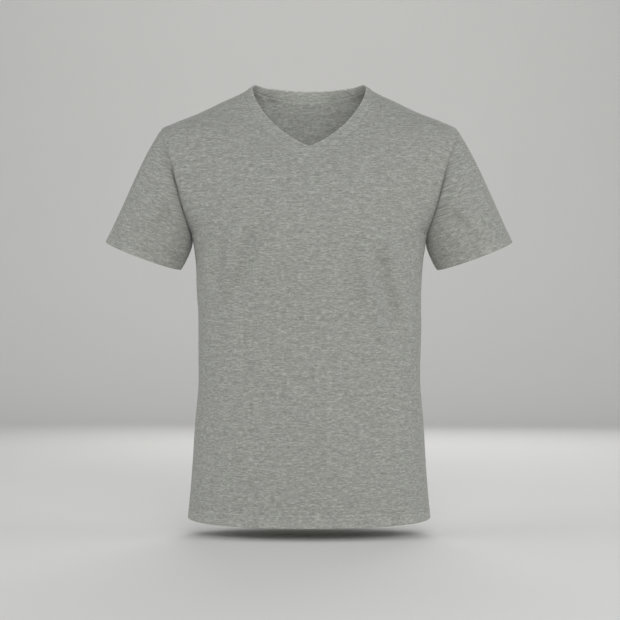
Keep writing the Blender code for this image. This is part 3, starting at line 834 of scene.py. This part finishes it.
def jersey(name, dark, middle, light):
    """Cotton single jersey of heather yarn: matt, softly fuzzy, with streaks along its courses."""
    made, tree, shader = new_material(name, JERSEY_ROUGHNESS)
    shader.inputs["Sheen Weight"].default_value = JERSEY_SHEEN
    shader.inputs["Sheen Roughness"].default_value = JERSEY_SHEEN_ROUGHNESS
    shader.inputs["Specular IOR Level"].default_value = JERSEY_SPECULAR
    shader.inputs["IOR"].default_value = JERSEY_IOR
    uv = add_node(tree, "ShaderNodeUVMap", {"uv_map": "cloth"}, {}).outputs["UV"]
    wander = add_node(
        tree,
        "ShaderNodeTexNoise",
        {"noise_dimensions": "2D"},
        {"Vector": uv, "Scale": WANDERS_PER_METRE, "Detail": 1.0},
    )
    wavy = add_node(
        tree,
        "ShaderNodeVectorMath",
        {"operation": "MULTIPLY_ADD"},
        {0: wander.outputs["Fac"], 1: (0, COURSE_WANDER, 0), 2: uv},
    )
    tone = 0.5 - sum(streak.strength for streak in STREAKS) / 2
    for streak in STREAKS:
        place = add_node(
            tree,
            "ShaderNodeMapping",
            {},
            {
                "Vector": wavy.outputs["Vector"],
                "Location": (0, 0, streak.seed),
                "Scale": (1 / streak.long, 1 / streak.high, 1),
            },
        )
        grain = add_node(
            tree,
            "ShaderNodeTexNoise",
            {},
            {
                "Vector": place.outputs["Vector"],
                "Scale": 1.0,
                "Detail": GRAIN_DETAIL,
                "Roughness": GRAIN_ROUGHNESS,
            },
        )
        tone = add_node(
            tree,
            "ShaderNodeMath",
            {"operation": "MULTIPLY_ADD"},
            {0: grain.outputs["Fac"], 1: streak.strength, 2: tone},
        ).outputs["Value"]
    ramp = add_node(tree, "ShaderNodeValToRGB", {}, {"Fac": tone})
    ramp.color_ramp.elements[0].position = DARK_AT
    ramp.color_ramp.elements[0].color = linear(dark)
    ramp.color_ramp.elements[1].position = LIGHT_AT
    ramp.color_ramp.elements[1].color = linear(light)
    ramp.color_ramp.elements.new(MIDDLE_AT).color = linear(middle)
    # Painted light: the cloth's painted highlights and the painted light inside scale its colour up
    lighter = add_node(tree, "ShaderNodeAttribute", {"attribute_name": "lighter"}, {})
    gain = add_node(
        tree,
        "ShaderNodeMath",
        {"operation": "MULTIPLY_ADD"},
        {0: lighter.outputs["Fac"], 1: PAINTED_LIGHT_GAIN, 2: 1.0},
    )
    colour = add_node(
        tree,
        "ShaderNodeVectorMath",
        {"operation": "SCALE"},
        {"Vector": ramp.outputs["Color"], "Scale": gain.outputs["Value"]},
    )
    tree.links.new(colour.outputs["Vector"], shader.inputs["Base Color"])
    # The face of jersey: columns of small V loops
    split = add_node(tree, "ShaderNodeSeparateXYZ", {}, {"Vector": uv}).outputs
    slant = add_node(
        tree, "ShaderNodeMath", {"operation": "PINGPONG"}, {0: split["X"], 1: WALE / 2}
    ).outputs["Value"]
    turn = 2 * math.pi / COURSE
    down = add_node(tree, "ShaderNodeMath", {"operation": "MULTIPLY"}, {0: split["Y"], 1: turn})
    phase = add_node(
        tree,
        "ShaderNodeMath",
        {"operation": "MULTIPLY_ADD"},
        {0: slant, 1: turn, 2: down.outputs["Value"]},
    )
    loop = add_node(tree, "ShaderNodeMath", {"operation": "SINE"}, {0: phase.outputs["Value"]})
    rib = add_node(
        tree, "ShaderNodeMath", {"operation": "MULTIPLY"}, {0: slant, 1: RIB_HEIGHT / WALE}
    )
    knit = add_node(
        tree,
        "ShaderNodeMath",
        {"operation": "MULTIPLY_ADD"},
        {0: loop.outputs["Value"], 1: LOOP_HEIGHT, 2: rib.outputs["Value"]},
    )
    height = add_node(
        tree,
        "ShaderNodeMath",
        {"operation": "MULTIPLY_ADD"},
        {0: tone, 1: STREAK_HEIGHT, 2: knit.outputs["Value"]},
    )
    raised = add_node(
        tree,
        "ShaderNodeBump",
        {},
        {"Strength": KNIT_STRENGTH, "Distance": KNIT_HEIGHT, "Height": height.outputs["Value"]},
    )
    tree.links.new(raised.outputs["Normal"], shader.inputs["Normal"])
    return made


def clouded(name, roughness, colour, shade, scale, detail):
    """A matt material in one colour that varies softly to a darker shade of itself."""
    made, tree, shader = new_material(name, roughness)
    place = add_node(tree, "ShaderNodeTexCoord", {}, {}).outputs["Object"]
    grain = add_node(
        tree, "ShaderNodeTexNoise", {}, {"Vector": place, "Scale": scale, "Detail": detail}
    )
    tone = add_node(tree, "ShaderNodeValToRGB", {}, {"Fac": grain.outputs["Fac"]})
    tone.color_ramp.elements[0].color = darker(linear(colour), shade)
    tone.color_ramp.elements[1].color = linear(colour)
    tree.links.new(tone.outputs["Color"], shader.inputs["Base Color"])
    return made


def new_piece(name, mesh, material):
    data = bpy.data.meshes.new(name)
    mesh.to_mesh(data)
    mesh.free()
    data.shade_smooth()
    data.set_sharp_from_angle(angle=SHARP_ANGLE)
    made = bpy.data.objects.new(name, data)
    data.materials.append(material)
    bpy.context.scene.collection.objects.link(made)
    return made


def cloth_wall(name, sheet, outer, inner, places, lighter, material):
    """A grid laid on the outer face, extruded once, with the copy laid on the inner face."""
    rows, columns = outer.shape[:2]
    mesh = bmesh.new()
    uv = mesh.loops.layers.uv.new("cloth")
    number = mesh.verts.layers.int.new("number")
    # Each point's painted light and painted highlight, which the jersey adds to its colour
    tone = mesh.verts.layers.float.new("lighter")
    bmesh.ops.create_grid(mesh, x_segments=columns - 1, y_segments=rows - 1, size=1)
    for vert in mesh.verts:
        column = round((vert.co.x + 1) / 2 * (columns - 1))
        row = round((vert.co.y + 1) / 2 * (rows - 1))
        vert[number] = row * columns + column
        vert[tone] = lighter[row, column]
        vert.co = outer[row, column]
    flat = places.reshape(-1, 2)
    for face in mesh.faces:
        for loop in face.loops:
            loop[uv].uv = flat[loop.vert[number]]
    if sheet.closed:
        ends = [v for v in mesh.verts if v[number] % columns in (0, columns - 1)]
        bmesh.ops.remove_doubles(mesh, verts=ends, dist=SAME_VERT)
    grown = bmesh.ops.extrude_face_region(mesh, geom=mesh.faces[:], use_keep_orig=True)["geom"]
    inside = inner.reshape(-1, 3)
    for vert in (g for g in grown if isinstance(g, bmesh.types.BMVert)):
        vert.co = inside[vert[number]]
        # Painted light: the inner faces are painted brighter, to lift the shade inside the shirt
        vert[tone] += INSIDE_PAINTED_LIGHT
    bmesh.ops.recalc_face_normals(mesh, faces=mesh.faces[:])
    return new_piece(name, mesh, material)


def stitch_row(mesh, line, normals):
    """Stitches of equal length along a line, each a small round-ended length of thread."""
    step = np.linalg.norm(np.diff(line, axis=0), axis=1)
    at = np.concatenate(([0], np.cumsum(step)))
    for middle in np.arange(STITCH_PITCH, at[-1] - STITCH_PITCH / 2, STITCH_PITCH):
        ends = [
            np.array([np.interp(middle + d, at, line[:, k]) for k in range(3)])
            for d in (-STITCH_LENGTH / 2, STITCH_LENGTH / 2)
        ]
        out = Vector([np.interp(middle, at, normals[:, k]) for k in range(3)]).normalized()
        along = Vector(ends[1] - ends[0]).normalized()
        square = out.cross(along).normalized()
        turn = Matrix((along, square, out)).transposed().to_4x4()
        centre = Vector((ends[0] + ends[1]) / 2) + out * THREAD_RADIUS * THREAD_OUT
        place = Matrix.Translation(centre)
        size = Matrix.Diagonal((STITCH_LENGTH / 2, THREAD_RADIUS, THREAD_RADIUS, 1))
        bmesh.ops.create_icosphere(mesh, subdivisions=1, radius=1, matrix=place @ turn @ size)


def line_at(distance, wanted, points, normals, closed):
    """The line across the rows at a distance from an edge, and the normals along it."""
    line, ways = [], []
    for column in range(points.shape[1] - (1 if closed else 0)):
        order = np.argsort(distance[:, column])
        far = distance[order, column]
        line.append([np.interp(wanted, far, points[order, column, k]) for k in range(3)])
        ways.append([np.interp(wanted, far, normals[order, column, k]) for k in range(3)])
    if closed:
        line.append(line[0])
        ways.append(ways[0])
    return np.array(line), np.array(ways)


left_sleeve = sleeve()
CUFF_UP = tuple(np.cross((0, 1, 0), CUFF_INNER - CUFF_OUTER))
RIGHT_CUFF_UP = (-CUFF_UP[0], CUFF_UP[1], CUFF_UP[2])
UPRIGHT = (0, 0, 1)
SHEETS = (
    Sheet("front", panel(-1), False, False, UPRIGHT, 0),
    Sheet("back", panel(1), False, True, UPRIGHT, 0),
    Sheet("sleeve_left", left_sleeve, True, True, CUFF_UP, -1),
    Sheet("sleeve_right", mirrored(left_sleeve), True, False, RIGHT_CUFF_UP, -1),
    Sheet("neckband", neck_band(), True, True, UPRIGHT, 0),
)
normals = shared_normals(SHEETS)
shapes = {
    "front": panel_shape(SHEETS[0].points, -1),
    "back": panel_shape(SHEETS[1].points, 1),
    "sleeve_left": sleeve_shape(SHEETS[2].points),
    "sleeve_right": sleeve_shape(SHEETS[3].points),
    "neckband": band_shape(SHEETS[4].points),
}

body_jersey = jersey("heather_cotton_single_jersey", "7B7C76", "959690", "B0B1AB")
band_jersey = jersey("heather_cotton_rib_band", "7F807A", "989993", "B3B4AE")
seam_thread = clouded(
    "spun_polyester_thread", THREAD_ROUGHNESS, "93948E", THREAD_SHADE, TWISTS_PER_METRE, 1.0
)

# The cut of what shows, in metres: widest, longest, and its flat area where it isn't a rectangle
Cut = namedtuple("Cut", "width length area held rests_on")

for sheet in SHEETS:
    shape = shapes[sheet.node]
    way = normals[sheet.node]
    outer = sheet.points + way * shape.outer[..., None]
    inner = sheet.points + way * shape.inner[..., None]
    places = cloth_places(sheet)
    material = band_jersey if sheet.node == "neckband" else body_jersey
    piece = cloth_wall(sheet.node + "_cloth", sheet, outer, inner, places, shape.lighter, material)
    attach(piece, "root")
    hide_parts(sheet.node)
    if sheet.node != "neckband":
        # A sleeve is turned up at its last row, and a panel at its first
        width = CUFF_WIDTH if sheet.closed else HEM_WIDTH
        distance = from_ends(sheet.points, 0)[1 if sheet.closed else 0]
        stitches = bmesh.new()
        for row in (width, width - TWIN_GAUGE):
            line, ways = line_at(distance, row, outer, way, sheet.closed)
            stitch_row(stitches, line, ways)
        made = new_piece(sheet.node + "_stitches", stitches, seam_thread)
        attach(made, "root")


def studio_sweep():
    """A pale floor that curves up into a wall behind the shirt."""
    mesh = bmesh.new()
    bmesh.ops.create_grid(mesh, x_segments=1, y_segments=SWEEP_CELLS, size=1)
    flat = FLOOR_BACK - FLOOR_FRONT
    length = flat + SWEEP_RADIUS * math.pi / 2 + WALL_HEIGHT
    for vert in mesh.verts:
        along = (vert.co.y + 1) / 2 * length
        turn = min(max((along - flat) / SWEEP_RADIUS, 0.0), math.pi / 2)
        rise = max(along - flat - SWEEP_RADIUS * math.pi / 2, 0.0)
        vert.co.x *= FLOOR_HALF_WIDTH
        vert.co.y = FLOOR_FRONT + min(along, flat) + SWEEP_RADIUS * math.sin(turn)
        vert.co.z = FLOOR_HEIGHT + SWEEP_RADIUS * (1 - math.cos(turn)) + rise
    bmesh.ops.recalc_face_normals(mesh, faces=mesh.faces[:])
    paint = clouded(
        "painted_studio_sweep",
        PAINT_ROUGHNESS,
        FLOOR_COLOUR,
        PAINT_SHADE,
        PAINT_CLOUDS_PER_METRE,
        PAINT_DETAIL,
    )
    return new_piece("studio_sweep", mesh, paint)


studio_sweep()

# Soft light: a large one in front, a second on the viewer's right, one from each side, one from
# behind, and a pale sky. The last lights the wall alone.
AreaLight = namedtuple("AreaLight", "name place aim size power")
SHIRT_MIDDLE = Vector((0, 0, -0.36))
LIGHTS = (
    AreaLight("front", (0.10, -4.1, 1.00), SHIRT_MIDDLE, 1.6, 27.0),
    AreaLight("key", (1.50, -3.8, 0.90), SHIRT_MIDDLE, 1.4, 10.5),
    AreaLight("left_side", (-3.0, -0.7, 0.0), SHIRT_MIDDLE, 2.0, 11.0),
    AreaLight("right_side", (3.0, -0.7, 0.0), SHIRT_MIDDLE, 2.0, 9.5),
    AreaLight("back", (0.3, 3.1, 0.9), SHIRT_MIDDLE, 2.0, 17.0),
    AreaLight("wall", (0, 2.2, 2.0), Vector((0, 4.8, 0.3)), 2.4, 9.0),
)
LIGHT_SPREAD = math.radians(120)
SKY_COLOUR = "F2F4F6"
SKY_STRENGTH = 0.37
for row in LIGHTS:
    light = bpy.data.lights.new(row.name, "AREA")
    light.shape = "SQUARE"
    light.size = row.size
    light.energy = row.power
    light.spread = LIGHT_SPREAD
    holder = bpy.data.objects.new(row.name, light)
    holder.location = row.place
    holder.rotation_euler = (row.aim - Vector(row.place)).to_track_quat("-Z", "Y").to_euler()
    holder.visible_camera = False
    bpy.context.scene.collection.objects.link(holder)

world = bpy.data.worlds.new("studio")
world.use_nodes = True
sky = world.node_tree.nodes["Background"].inputs
sky["Color"].default_value = linear(SKY_COLOUR)
sky["Strength"].default_value = SKY_STRENGTH
bpy.context.scene.world = world
bpy.context.scene.view_settings.view_transform = "Standard"

lens = bpy.data.cameras.new("front_camera")
lens.sensor_width = SENSOR
lens.lens = CAMERA_LENS
camera = bpy.data.objects.new("front_camera", lens)
camera.location = CAMERA_PLACE
camera.rotation_euler = (math.pi / 2, 0, 0)
bpy.context.scene.collection.objects.link(camera)
bpy.context.scene.camera = camera
